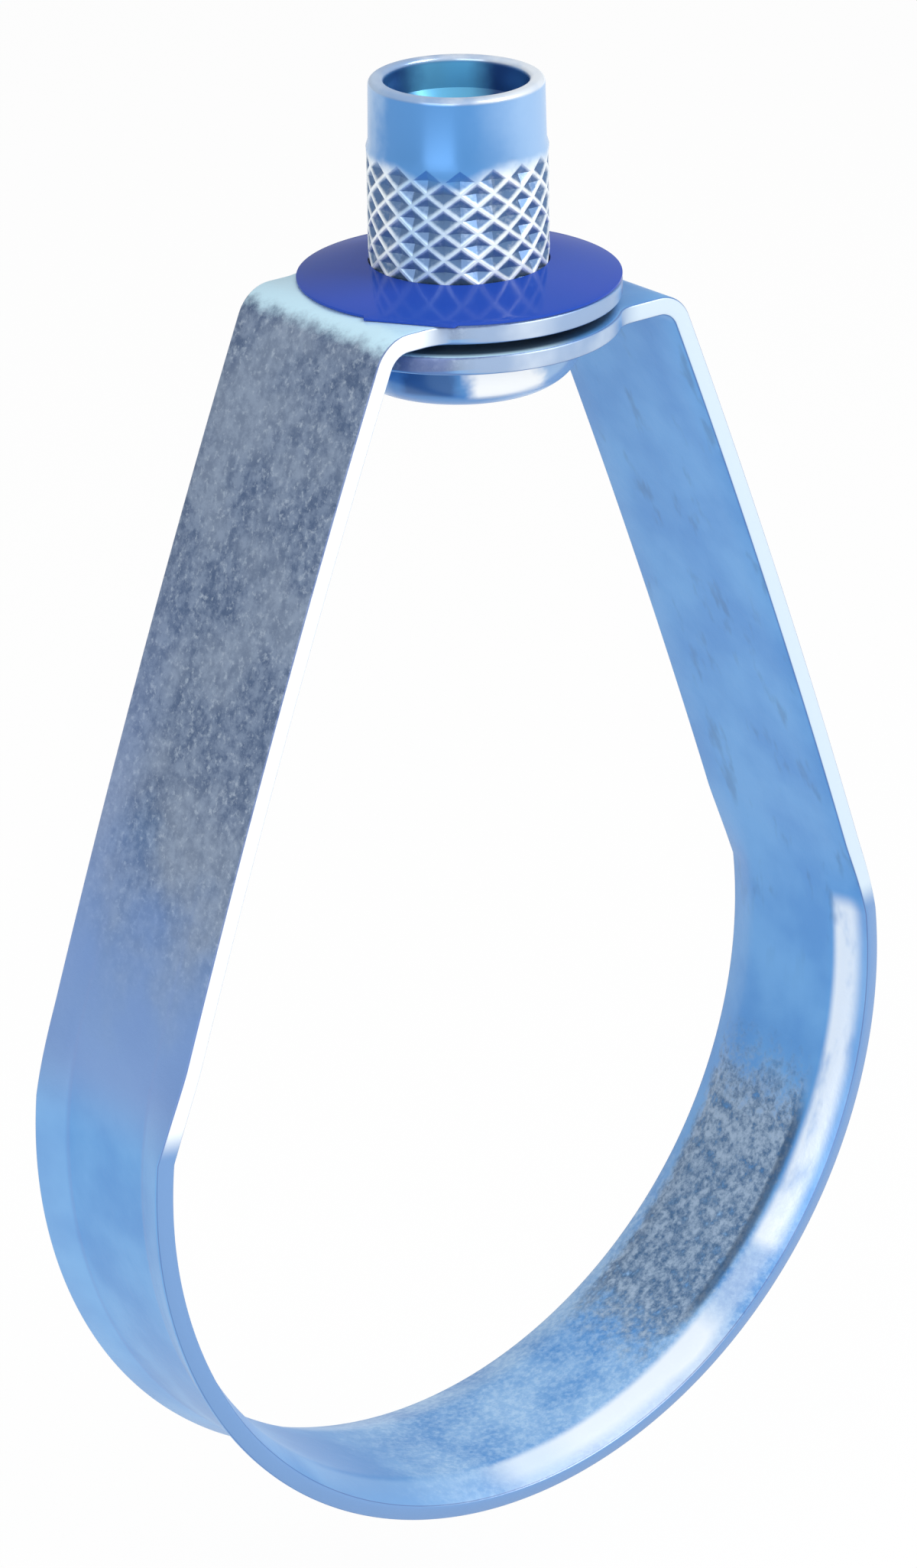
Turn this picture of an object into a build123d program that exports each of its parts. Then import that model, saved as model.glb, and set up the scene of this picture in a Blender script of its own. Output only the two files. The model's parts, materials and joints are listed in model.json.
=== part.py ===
from build123d import *
from itertools import pairwise
from math import acos, atan2, cos, degrees, hypot, pi, radians, sin, sqrt, tan
import os

# Adjustable swivel loop hanger for a nominal two inch pipe and a 3/8 inch rod.
# Millimetres. The origin is the centre of the pipe, +Y runs along the pipe and
# +Z points up the threaded rod.

# Pipe and cradle
pipe_diameter = 60.3
pipe_clearance = 1.35
flank_radius = 33.1
flank_angle = 30.0

# Strip that the loop is bent from
strip_width = 15.9
strip_thickness = 1.35
strip_edge_bevel = 0.25

# Flared edges of the cradle
flare_width = 3.35
flare_angle = 18.0
knuckle_height = 9.2
knuckle_length = 6.8

# Slightly bowed arms and the round eyes at their ends
arm_radius = 720.0
shoulder_radius = 1.6
upper_neck_length = 2.55
lower_neck_length = 3.5
eye_radius = 11.4
eye_gap = 0.85
eye_neck_radius = 2.5
upper_eye_top = 60.5

# Knurled swivel nut
barrel_radius = 6.35
barrel_clearance = 0.35
collar_height = 4.8
collar_radius = 6.2
rim_radius = 6.13
rim_bevel = 0.4
nut_top = 74.8
counterbore_radius = 5.05
counterbore_depth = 2.2
thread_bore_radius = 4.0
thread_lead = 0.4
flange_radius = 8.8
flange_height = 3.55
flange_band = 0.7
flange_foot_radius = 6.9
flange_belly_radius = 8.6
flange_belly_height = 0.95
flange_clearance = 0.05

# Diamond knurl: rows of four-sided pits between crossing ridges
knurl_starts = 17
knurl_row_pitch = 1.85
knurl_depth = 0.36
knurl_ridge_width = 0.18
knurl_overcut = 0.02

# Retaining washer pressed over the knurl
washer_thickness = 0.2
washer_clearance = 0.03
washer_rise = 1.1
washer_brim_width = 0.8
washer_flat_length = 6.6
washer_flat_offset = 0.05
washer_flat_bearing = 213.6

# Sizes that follow from the values above
cradle_radius = pipe_diameter / 2 + pipe_clearance
flank_offset = flank_radius - cradle_radius
half_width = strip_width / 2
lower_eye_top = upper_eye_top - strip_thickness - eye_gap
lower_eye_underside = lower_eye_top - strip_thickness
upper_eye_underside = upper_eye_top - strip_thickness
eye_hole_radius = barrel_radius + barrel_clearance
flange_top = lower_eye_underside - flange_clearance
nut_bottom = flange_top - flange_height
knurl_top = nut_top - collar_height
washer_bottom = upper_eye_top + washer_clearance
washer_brim_radius = eye_radius - washer_brim_width
washer_reach = hypot(eye_radius + washer_flat_offset, washer_flat_length / 2)
knurl_half_length = pi * barrel_radius / knurl_starts
knurl_half_height = knurl_row_pitch / 2
neck_root = sqrt(eye_radius**2 - half_width**2)

# Centre of the flank arc of the right-hand side, in the XZ plane
flank_centre = (
    -flank_offset * cos(radians(flank_angle)),
    flank_offset * sin(radians(flank_angle)),
)


def flank_point(angle: float) -> tuple[float, float]:
    """Point of the strip's inner face on the right-hand flank arc."""
    return (
        flank_centre[0] + flank_radius * cos(radians(angle)),
        flank_centre[1] + flank_radius * sin(radians(angle)),
    )


def section_plane(angle: float) -> Plane:
    """Plane across the strip on the flank arc, with its own Y pointing outwards."""
    x, z = flank_point(angle)
    return Plane(
        origin=(x, 0, z),
        x_dir=(0, 1, 0),
        z_dir=(sin(radians(angle)), 0, -cos(radians(angle))),
    )


def strip_section(plane: Plane, turn: float) -> Sketch:
    """Section of the strip, its two edges turned outwards by turn degrees."""
    along = Vector(cos(radians(turn)), sin(radians(turn)))
    across = Vector(-sin(radians(turn)), cos(radians(turn)))
    inner_fold = Vector(half_width - flare_width, 0)
    outer_fold = inner_fold + Vector(-strip_thickness * tan(radians(turn / 2)), strip_thickness)
    inner_edge = inner_fold + along * flare_width
    outer_edge = inner_edge + across * strip_thickness
    corners = [
        Vector(0, 0),
        inner_fold,
        inner_edge - along * strip_edge_bevel,
        inner_edge + across * strip_edge_bevel,
        outer_edge - across * strip_edge_bevel,
        outer_edge - along * strip_edge_bevel,
        outer_fold,
        Vector(0, strip_thickness),
    ]
    with BuildSketch(plane) as section:
        with BuildLine():
            for start, end in pairwise(corners):
                Line(start, end)
            mirror(about=Plane.YZ)
        make_face()
    return section.sketch


def eye_plate(eye_underside: float, bend_x: float) -> Part:
    """Round eye with its neck, ending square where the shoulder bend begins at bend_x."""
    with BuildPart() as plate:
        with BuildSketch(Plane.XY.offset(eye_underside)) as eye:
            Circle(eye_radius)
            Rectangle(bend_x, strip_width, align=(Align.MIN, Align.CENTER))
            necks = eye.vertices().filter_by(lambda v: 0 < v.X < bend_x - strip_edge_bevel)
            fillet(necks, radius=eye_neck_radius)
        extrude(amount=strip_thickness)
        faces = plate.faces().filter_by(Axis.Z)
        rims = faces.edges().filter_by(lambda e: e.center().X < bend_x - strip_edge_bevel)
        chamfer(rims, length=strip_edge_bevel)
        with Locations((0, 0, eye_underside)):
            Hole(eye_hole_radius)
    return plate.part


def arm(eye_underside: float, neck_length: float) -> Part:
    """Right-hand arm: upper flank, bowed run, shoulder bend and round eye."""
    bend_x = neck_root + neck_length
    bend_z = eye_underside - shoulder_radius
    rise = bend_z - flank_centre[1]
    reach = bend_x - flank_centre[0]
    span = hypot(rise, reach)
    flank_gap = arm_radius - flank_radius
    bend_gap = arm_radius - shoulder_radius
    opening = acos((span**2 + flank_gap**2 - bend_gap**2) / (2 * span * flank_gap))
    foot_lean = atan2(rise, reach) + opening - pi
    arm_centre = (flank_centre[0] - flank_gap * cos(foot_lean), flank_centre[1] - flank_gap * sin(foot_lean))
    foot_angle = degrees(foot_lean)
    top_angle = degrees(atan2(bend_z - arm_centre[1], bend_x - arm_centre[0]))
    with BuildPart() as arm_part:
        with BuildLine(Plane.XZ) as arm_line:
            CenterArc(flank_centre, flank_radius, knuckle_top_angle, foot_angle - knuckle_top_angle)
            CenterArc(arm_centre, arm_radius, foot_angle, top_angle - foot_angle)
            CenterArc((bend_x, bend_z), shoulder_radius, top_angle, 90 - top_angle)
        sweep(sections=strip_section(section_plane(knuckle_top_angle), 0), path=arm_line.line)
        add(eye_plate(eye_underside, bend_x))
    return arm_part.part


# Angles at which each knuckle ends and starts on the flank arc
knuckle_top_angle = degrees(atan2(knuckle_height - flank_centre[1], flank_point(0)[0] - flank_centre[0]))
knuckle_foot_angle = knuckle_top_angle - degrees(knuckle_length / flank_radius)

# Loop band: one strip, bent to a teardrop and flared where it carries the pipe
with BuildPart() as loop_band:
    with BuildLine(Plane.XZ) as cradle_line:
        CenterArc((0, 0), cradle_radius, -90, 90 - flank_angle)
        CenterArc(flank_centre, flank_radius, -flank_angle, flank_angle + knuckle_foot_angle)
    flared = strip_section(section_plane(knuckle_foot_angle), flare_angle)
    sweep(sections=flared, path=cradle_line.line)
    plain = strip_section(section_plane(knuckle_top_angle), 0)
    loft(sections=[flared, plain], ruled=True)
    mirror(about=Plane.YZ)
    add(arm(lower_eye_underside, lower_neck_length))
    add(arm(upper_eye_underside, upper_neck_length).mirror(Plane.YZ))

# Swivel nut: turned barrel with a domed flange, bored right through
with BuildPart() as swivel_nut:
    with BuildSketch(Plane.XZ) as nut_profile:
        with BuildLine():
            Polyline(
                (thread_bore_radius, nut_bottom + thread_lead),
                (thread_bore_radius + thread_lead, nut_bottom),
                (flange_foot_radius, nut_bottom),
            )
            Bezier(
                (flange_foot_radius, nut_bottom),
                (flange_belly_radius, nut_bottom + flange_belly_height),
                (flange_radius, flange_top - flange_band),
            )
            Polyline(
                (flange_radius, flange_top - flange_band),
                (flange_radius, flange_top),
                (barrel_radius, flange_top),
                (barrel_radius, knurl_top),
                (collar_radius, knurl_top + barrel_radius - collar_radius),
                (rim_radius, nut_top),
                (counterbore_radius, nut_top),
                (counterbore_radius, nut_top - counterbore_depth),
                (thread_bore_radius, nut_top - counterbore_depth - counterbore_radius + thread_bore_radius),
                (thread_bore_radius, nut_bottom + thread_lead),
            )
        make_face()
        chamfer(nut_profile.vertices().filter_by(lambda v: v.Y > nut_top - rim_bevel), length=rim_bevel)
    revolve(axis=Axis.Z)

# Cutter for one pit of the knurl, on the barrel's +X side: two crossing V grooves
knurl_diagonal = hypot(knurl_half_length, knurl_half_height)
mouth_half = knurl_half_length * knurl_half_height / knurl_diagonal - knurl_ridge_width / 2
with BuildPart() as knurl_pit:
    for rise, mode in ((knurl_half_height, Mode.ADD), (-knurl_half_height, Mode.INTERSECT)):
        across_groove = Plane(origin=(barrel_radius, 0, 0), x_dir=(1, 0, 0), z_dir=(0, knurl_half_length, rise))
        with BuildSketch(across_groove):
            with BuildLine():
                Polyline(
                    (knurl_overcut, mouth_half * (1 + knurl_overcut / knurl_depth)),
                    (-knurl_depth, 0),
                    (knurl_overcut, -mouth_half * (1 + knurl_overcut / knurl_depth)),
                    close=True,
                )
            make_face()
        extrude(amount=knurl_diagonal, both=True, mode=mode)

knurl_rows = int((knurl_top - washer_bottom - washer_rise) / knurl_half_height)
with swivel_nut:
    for row in range(knurl_rows):
        height = knurl_top - knurl_half_height * (row + 1)
        turn = 180 / knurl_starts * (row % 2)
        with Locations((0, 0, height)):
            with PolarLocations(0, knurl_starts, start_angle=turn):
                add(knurl_pit.part, mode=Mode.SUBTRACT)

# Retaining washer: a thin dished disc that grips the knurl above the upper eye
with BuildPart() as retaining_washer:
    with BuildSketch(Plane.XZ):
        with BuildLine():
            Polyline(
                (barrel_radius, washer_bottom + washer_rise),
                (washer_brim_radius, washer_bottom),
                (washer_reach, washer_bottom),
                (washer_reach, washer_bottom + washer_thickness),
                (washer_brim_radius, washer_bottom + washer_thickness),
                (barrel_radius, washer_bottom + washer_rise + washer_thickness),
                close=True,
            )
        make_face()
    revolve(axis=Axis.Z)
    with BuildSketch(Plane.XY.offset(washer_bottom)):
        Circle(eye_radius)
        with PolarLocations(0, 1, start_angle=washer_flat_bearing):
            Rectangle(
                eye_radius + washer_flat_offset,
                washer_flat_length,
                align=(Align.MIN, Align.CENTER),
            )
    extrude(amount=washer_rise + washer_thickness, mode=Mode.INTERSECT)

loop_band.part.label = "loop_band"
swivel_nut.part.label = "swivel_nut"
retaining_washer.part.label = "retaining_washer"

os.makedirs("parts", exist_ok=True)
export_step(loop_band.part, "parts/loop_band.step")
export_step(swivel_nut.part, "parts/swivel_nut.step")
export_step(retaining_washer.part, "parts/retaining_washer.step")
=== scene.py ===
"""Looks of an adjustable swivel loop hanger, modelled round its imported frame.

Sizes are written in millimetres and the pieces are built in metres, in the frame's own axes: the origin
is the centre of the pipe, +Y runs along the pipe and +Z points up the threaded rod.
"""

import json
import logging
import math
from collections.abc import Callable, Sequence
from dataclasses import dataclass
from enum import Enum

import bmesh
import bpy
from mathutils import Matrix, Vector

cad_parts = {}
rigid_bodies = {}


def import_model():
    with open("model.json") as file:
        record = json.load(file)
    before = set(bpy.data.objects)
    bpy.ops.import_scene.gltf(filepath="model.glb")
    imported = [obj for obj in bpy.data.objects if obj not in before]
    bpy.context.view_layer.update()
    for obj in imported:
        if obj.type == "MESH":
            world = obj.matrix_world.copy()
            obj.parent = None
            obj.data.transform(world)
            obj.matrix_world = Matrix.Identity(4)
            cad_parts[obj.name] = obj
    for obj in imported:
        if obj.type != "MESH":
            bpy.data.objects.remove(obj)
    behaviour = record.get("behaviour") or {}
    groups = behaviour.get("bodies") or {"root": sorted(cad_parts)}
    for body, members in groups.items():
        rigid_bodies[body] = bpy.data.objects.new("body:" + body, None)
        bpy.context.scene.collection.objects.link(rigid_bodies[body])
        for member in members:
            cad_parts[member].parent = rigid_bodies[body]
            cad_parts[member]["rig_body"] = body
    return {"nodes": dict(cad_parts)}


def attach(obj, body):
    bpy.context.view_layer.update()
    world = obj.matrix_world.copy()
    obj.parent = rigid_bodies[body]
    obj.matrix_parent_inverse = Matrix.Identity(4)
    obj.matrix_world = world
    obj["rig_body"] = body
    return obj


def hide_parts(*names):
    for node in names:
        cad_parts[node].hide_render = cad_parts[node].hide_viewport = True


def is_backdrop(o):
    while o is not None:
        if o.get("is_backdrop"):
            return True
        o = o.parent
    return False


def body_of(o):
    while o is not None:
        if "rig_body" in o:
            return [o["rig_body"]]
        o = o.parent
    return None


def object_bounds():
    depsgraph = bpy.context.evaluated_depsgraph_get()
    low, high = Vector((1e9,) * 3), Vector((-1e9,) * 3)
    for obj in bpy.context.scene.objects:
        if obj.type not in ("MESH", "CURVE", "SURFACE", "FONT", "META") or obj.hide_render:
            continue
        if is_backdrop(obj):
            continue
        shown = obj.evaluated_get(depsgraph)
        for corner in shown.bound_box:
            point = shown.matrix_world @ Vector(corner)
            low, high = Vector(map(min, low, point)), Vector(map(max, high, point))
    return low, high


MM = 0.001
WELD = 2e-6
NEAR_MM = 0.01
QUARTER_TURN = math.radians(90)
FULL_TURN = math.radians(360)
ALONG_PIPE = Vector((0, 1, 0))
UP = Vector((0, 0, 1))
PHOTO_HEIGHT_PX = 2051.0
SENSOR_MM = 36.0
FACING = "facing"

Colour = tuple[float, float, float]
Span = tuple[float, float]
Reach = tuple[float, float, float]

WHITE: Colour = (1.0, 1.0, 1.0)
LILAC: Colour = (0.20, 0.31, 0.60)
# Pale frosted tint: real frost on the inner bottom, painted sheen on the flares.
FROST_AND_SHEEN: Colour = (0.48, 0.69, 0.92)
# White of the painted highlights on the flares and the cut edges.
HIGHLIGHT_WHITE: Colour = (0.90, 0.96, 1.0)
# Painted shade, laid in the crease of the front fold and in the gap between the eyes.
PAINTED_SHADE: Colour = (0.02, 0.06, 0.13)

log = logging.getLogger("loop_hanger")


def at(x: float, y: float, z: float) -> Vector:
    """A place or a step in millimetres, as a vector in metres."""
    return Vector((x, y, z)) * MM


def mm(lengths: Sequence[float], base: float = 0.0) -> list[float]:
    """Millimetres counted from a base, as metres."""
    return [(base + length) * MM for length in lengths]


class Side(Enum):
    """The side of the loop that an arm stands on."""

    RIGHT = 1
    LEFT = -1


class SelectMode(Enum):
    """What an edit selects."""

    VERTEX = "VERT"
    EDGE = "EDGE"
    FACE = "FACE"


class Bench:
    """A piece on the bench: one mesh object, shaped with the edit operators."""

    def __init__(self, piece: bpy.types.Object) -> None:
        """Takes the mesh object that the operators work on, which lies unturned at the origin."""
        self.piece = piece
        self.take_up()

    def take_up(self) -> None:
        """Selects the piece and makes it the active one."""
        self.piece.select_set(True)
        bpy.context.view_layer.objects.active = self.piece

    @staticmethod
    def clear() -> None:
        """Leaves edit mode and deselects every object."""
        if bpy.context.object and bpy.context.object.mode != "OBJECT":
            bpy.ops.object.mode_set(mode="OBJECT")
        bpy.ops.object.select_all(action="DESELECT")

    @classmethod
    def pen(cls, name: str, start: Vector) -> "Bench":
        """Starts a piece as one vertex, ready to be drawn out.

        Args:
            name: Name of the new piece.
            start: Place of the vertex, in metres.

        Returns:
            The bench, in edit mode with the vertex selected.
        """
        cls.clear()
        bpy.ops.mesh.primitive_plane_add(size=MM)
        piece = bpy.context.object
        piece.name = name
        bench = cls(piece)
        bench.edit()
        bench.select_all()
        bpy.ops.mesh.merge(type="CENTER")
        bpy.ops.transform.translate(value=start)
        return bench

    def edit(self, mode: SelectMode = SelectMode.VERTEX) -> None:
        """Enters edit mode.

        Args:
            mode: The kind of element that is selected there.
        """
        if self.piece.mode != "EDIT":
            bpy.ops.object.mode_set(mode="EDIT")
        bpy.ops.mesh.select_mode(type=mode.value)

    def done(self) -> bpy.types.Object:
        """Leaves edit mode.

        Returns:
            The piece.
        """
        if self.piece.mode == "EDIT":
            bpy.ops.object.mode_set(mode="OBJECT")
        return self.piece

    def select_all(self) -> None:
        """Selects the whole mesh."""
        bpy.ops.mesh.select_all(action="SELECT")

    def select_none(self) -> None:
        """Deselects the whole mesh."""
        bpy.ops.mesh.select_all(action="DESELECT")

    def line(self, *steps: Vector) -> None:
        """Draws the selected vertices or faces out along each step in turn."""
        for step in steps:
            bpy.ops.mesh.extrude_region_move(TRANSFORM_OT_translate={"value": step})

    def spin(self, centre: Vector, axis: Vector, angle: float, steps: int) -> None:
        """Draws the selection round an axis through centre, right-handed, by an angle in radians."""
        bpy.ops.mesh.spin(steps=steps, angle=-angle, center=centre, axis=axis)

    def turn(self, steps: int) -> None:
        """Turns the whole profile once round the rod's axis and closes it.

        Args:
            steps: Number of segments.
        """
        self.select_all()
        self.spin(Vector(), UP, FULL_TURN, steps)
        self.weld()

    def choose(self, mode: SelectMode, test: Callable[[Vector], bool]) -> int:
        """Selects the elements whose middle passes a test, and no others.

        Args:
            mode: The kind of element.
            test: Takes an element's middle, in metres.

        Returns:
            How many elements are selected.
        """
        self.edit(mode)
        self.select_none()
        shape = bmesh.from_edit_mesh(self.piece.data)
        if mode is SelectMode.VERTEX:
            found = [vert for vert in shape.verts if test(vert.co)]
        elif mode is SelectMode.EDGE:
            ends = ((edge, edge.verts[0].co, edge.verts[1].co) for edge in shape.edges)
            found = [edge for edge, first, second in ends if test((first + second) / 2)]
        else:
            found = [face for face in shape.faces if test(face.calc_center_median())]
        for element in found:
            element.select_set(True)
        shape.select_flush_mode()
        bmesh.update_edit_mesh(self.piece.data)
        return len(found)

    def nudge(self, move: Callable[[Vector], Vector]) -> None:
        """Moves every vertex.

        Args:
            move: Takes a vertex's place and gives its new one, both in metres.
        """
        self.edit()
        shape = bmesh.from_edit_mesh(self.piece.data)
        for vert in shape.verts:
            vert.co = move(vert.co)
        bmesh.update_edit_mesh(self.piece.data)

    def weld(self) -> None:
        """Merges doubled vertices and turns every face outwards."""
        self.edit()
        self.select_all()
        bpy.ops.mesh.remove_doubles(threshold=WELD)
        bpy.ops.mesh.normals_make_consistent(inside=False)

    def take_in(self, *others: bpy.types.Object) -> None:
        """Joins other pieces into this one and welds the seams.

        Args:
            others: The pieces, which are gone afterwards.
        """
        self.done()
        Bench.clear()
        for other in others:
            other.select_set(True)
        self.take_up()
        bpy.ops.object.join()
        self.weld()

    def bevel(self, width: float, segments: int, limit: float) -> None:
        """Rounds the sharp edges with a bevel modifier, and applies it.

        Args:
            width: Width of the rounding, in millimetres.
            segments: Faces across it.
            limit: Angle in degrees from which an edge is sharp.
        """
        self.done()
        modifier = self.piece.modifiers.new("edge_round", "BEVEL")
        modifier.width = width * MM
        modifier.segments = segments
        modifier.limit_method = "ANGLE"
        modifier.angle_limit = math.radians(limit)
        modifier.harden_normals = False
        bpy.ops.object.modifier_apply(modifier=modifier.name)

    def shade(self, limit: float) -> None:
        """Shades the piece smooth, apart from its sharp edges.

        Args:
            limit: Angle in degrees from which an edge is sharp.
        """
        self.done()
        Bench.clear()
        self.take_up()
        bpy.ops.object.shade_smooth_by_angle(angle=math.radians(limit))

    def mark_facing(self) -> None:
        """Stores the way that the surface faces, in the piece's own axes, as an attribute."""
        mesh = self.piece.data
        numbers = [0.0] * (3 * len(mesh.loops))
        mesh.corner_normals.foreach_get("vector", numbers)
        mesh.attributes.new(FACING, "FLOAT_VECTOR", "CORNER").data.foreach_set("vector", numbers)

    def dress(self, material: bpy.types.Material) -> bpy.types.Object:
        """Gives the piece its material.

        Args:
            material: The only one that it has.

        Returns:
            The piece.
        """
        self.piece.data.materials.clear()
        self.piece.data.materials.append(material)
        return self.piece


class Value:
    """A number that varies over a surface: a shader socket with Python's operators."""

    def __init__(self, tree: "Tree", socket: bpy.types.NodeSocket) -> None:
        """Wraps a socket of the tree."""
        self.tree = tree
        self.socket = socket

    def _math(self, operation: str, *terms: "Value | float") -> "Value":
        """Adds a Math node on the terms."""
        node = self.tree.node("ShaderNodeMath", {"operation": operation}, dict(enumerate(terms)))
        return Value(self.tree, node.outputs[0])

    def __add__(self, other: "Value | float") -> "Value":
        """Sum."""
        return self._math("ADD", self, other)

    __radd__ = __add__

    def __sub__(self, other: "Value | float") -> "Value":
        """Difference."""
        return self._math("SUBTRACT", self, other)

    def __rsub__(self, other: float) -> "Value":
        """Difference from a plain number."""
        return self._math("SUBTRACT", other, self)

    def __mul__(self, other: "Value | float") -> "Value":
        """Product."""
        return self._math("MULTIPLY", self, other)

    __rmul__ = __mul__

    def __abs__(self) -> "Value":
        """Size without its sign."""
        return self._math("ABSOLUTE", self)

    def step(self, low: float, high: float) -> "Value":
        """Rises smoothly from 0 to 1, or falls where low is higher than high.

        Args:
            low: The number at which the result is 0.
            high: The number at which it is 1.

        Returns:
            The result.
        """
        settings = {"interpolation_type": "SMOOTHSTEP", "clamp": True}
        if low < high:
            inputs = {"Value": self, "From Min": low, "From Max": high}
        else:
            inputs = {"Value": self, "From Min": high, "From Max": low, "To Min": 1.0, "To Max": 0.0}
        return Value(self.tree, self.tree.node("ShaderNodeMapRange", settings, inputs).outputs[0])

    def bearing(self, across: "Value") -> "Value":
        """Angle in radians whose tangent is this number over the other."""
        return self._math("ARCTAN2", self, across)

    def within(self, low: float, high: float, soft: float) -> "Value":
        """1 between low and high, falling to 0 over soft on either side."""
        return self.step(low - soft, low) * self.step(high + soft, high)

    def arc(self, low: float, high: float, soft: float) -> "Value":
        """1 between two bearings in degrees, falling to 0 over soft radians on either side."""
        return self.within(math.radians(low), math.radians(high), soft)

    def swing(self, reach: float) -> "Value":
        """A number from 0 to 1, made to swing about 0 by half of reach."""
        return (self - 0.5) * reach

    def clamp(self) -> "Value":
        """Kept between 0 and 1."""
        return Value(self.tree, self.tree.node("ShaderNodeClamp", {}, {"Value": self}).outputs[0])


@dataclass(frozen=True)
class Noise:
    """A cloudy noise: features for each metre, octaves, weight of the finer ones and stretch of the axes."""

    scale: float
    octaves: float = 3.0
    rough: float = 0.5
    stretch: tuple[float, float, float] = (1.0, 1.0, 1.0)


class Tree:
    """A node tree under construction."""

    def __init__(self, tree: bpy.types.NodeTree) -> None:
        """Takes a tree and empties it."""
        self.tree = tree
        tree.nodes.clear()

    def node(self, kind: str, settings: dict[str, object], inputs: dict) -> bpy.types.Node:
        """Adds a node.

        Args:
            kind: Blender's name of the node's type.
            settings: The node's own properties, set first.
            inputs: Its sockets' values or links, by name or number.

        Returns:
            The node.
        """
        node = self.tree.nodes.new(kind)
        for name, value in settings.items():
            setattr(node, name, value)
        for key, value in inputs.items():
            self.feed(node.inputs[key], value)
        return node

    def feed(self, socket: bpy.types.NodeSocket, value: object) -> None:
        """Links or sets one socket.

        Args:
            socket: The input.
            value: A socket or a Value that is linked to it, or a number or colour that it is set to.
        """
        if isinstance(value, Value):
            self.tree.links.new(value.socket, socket)
        elif isinstance(value, bpy.types.NodeSocket):
            self.tree.links.new(value, socket)
        elif isinstance(value, tuple) and socket.type == "RGBA":
            socket.default_value = (*value, 1.0)
        else:
            socket.default_value = value


class Paint(Tree):
    """A material under construction."""

    def __init__(self, name: str) -> None:
        """Starts a node material with a Principled shader.

        Args:
            name: Name of the material.
        """
        self.material = bpy.data.materials.new(name)
        self.material.use_nodes = True
        super().__init__(self.material.node_tree)
        self.output = self.node("ShaderNodeOutputMaterial", {}, {})
        self.shader = self.node("ShaderNodeBsdfPrincipled", {}, {})
        self.feed(self.output.inputs["Surface"], self.shader.outputs[0])
        self.place = self.node("ShaderNodeTexCoord", {}, {}).outputs["Object"]

    def split(self, vector: bpy.types.NodeSocket) -> tuple[Value, Value, Value]:
        """The X, Y and Z of a vector."""
        parts = self.node("ShaderNodeSeparateXYZ", {}, {0: vector}).outputs
        return tuple(Value(self, parts[index]) for index in range(3))

    def facing(self) -> tuple[Value, Value, Value]:
        """The X, Y and Z of the way that the surface faces, in the piece's own axes."""
        return self.split(self.node("ShaderNodeAttribute", {"attribute_name": FACING}, {}).outputs["Vector"])

    def length(self, *parts: Value) -> Value:
        """Measures a vector.

        Args:
            parts: Its X, Y and Z, or the first of them.

        Returns:
            Its length.
        """
        joined = self.node("ShaderNodeCombineXYZ", {}, dict(enumerate(parts)))
        measured = self.node("ShaderNodeVectorMath", {"operation": "LENGTH"}, {0: joined.outputs[0]})
        return Value(self, measured.outputs["Value"])

    def noise(self, grain: Noise) -> Value:
        """Adds a noise on Object coordinates.

        Args:
            grain: The noise's numbers.

        Returns:
            The noise, between about 0 and 1.
        """
        place = self.node("ShaderNodeMapping", {}, {"Vector": self.place, "Scale": grain.stretch}).outputs[0]
        inputs = {"Vector": place, "Scale": grain.scale, "Detail": grain.octaves, "Roughness": grain.rough}
        return Value(self, self.node("ShaderNodeTexNoise", {}, inputs).outputs[0])

    def blend(
        self, factor: Value, first: Colour | bpy.types.NodeSocket, second: Colour | bpy.types.NodeSocket
    ) -> bpy.types.NodeSocket:
        """Mixes two colours or colour sockets: a factor of 0 gives the first and 1 the second."""
        node = self.node("ShaderNodeMix", {"data_type": "RGBA"}, {0: factor, 6: first, 7: second})
        return node.outputs[2]

    def finish(
        self, height: Value | None = None, depth: float = 0.0, **sockets: object
    ) -> bpy.types.Material:
        """Sets the shader's sockets.

        Args:
            height: A height for the bump, if there is one.
            depth: What a height of 1 stands for, in millimetres.
            sockets: Values of the Principled shader's sockets, with underscores for spaces.

        Returns:
            The material.
        """
        for name, value in sockets.items():
            self.feed(self.shader.inputs[name.replace("_", " ")], value)
        if height is not None:
            inputs = {"Height": height, "Distance": depth * MM, "Strength": 1.0}
            bump = self.node("ShaderNodeBump", {}, inputs)
            self.feed(self.shader.inputs["Normal"], bump.outputs[0])
        return self.material


class Coat:
    """A colour that is laid on a paint, one layer over another."""

    def __init__(self, paint: Paint, base: Colour) -> None:
        """Starts with the lowest layer.

        Args:
            paint: The paint.
            base: Its first colour.
        """
        self.paint = paint
        self.x, self.y, self.z = paint.split(paint.place)
        self.colour: Colour | bpy.types.NodeSocket = base

    def lay(self, share: Value, colour: Colour | bpy.types.NodeSocket) -> None:
        """Lays a colour over the others: none of it where the share is 0, nothing else where it is 1."""
        self.colour = self.paint.blend(share, self.colour, colour)


class StripCoat(Coat):
    """The band's coat, with its faces and the grains that its layers read."""

    def __init__(self, paint: Paint, zinc: "StripZinc", band: "LoopBand") -> None:
        """Starts the coat with the zinc's blue.

        Args:
            paint: The paint.
            zinc: The finish, which gives the grains and where one face ends.
            band: The band, which gives the sizes.
        """
        super().__init__(paint, zinc.blue)
        self.band = band
        normal_x, normal_y, self.rise = paint.facing()
        self.steep = abs(normal_y)
        self.outer = (normal_x * self.x + self.rise * self.z).step(*mm(zinc.face_turn))
        self.inner = 1 - self.outer
        self.outer_left = self.outer * self.x.step(*mm(zinc.side_turn))
        self.angle = self.z.bearing(self.x)
        self.fine = paint.noise(zinc.fine)
        self.mottle = paint.noise(zinc.mottle)
        self.cloud = paint.noise(zinc.cloud)
        self.smudge = paint.noise(zinc.smudge)


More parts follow.
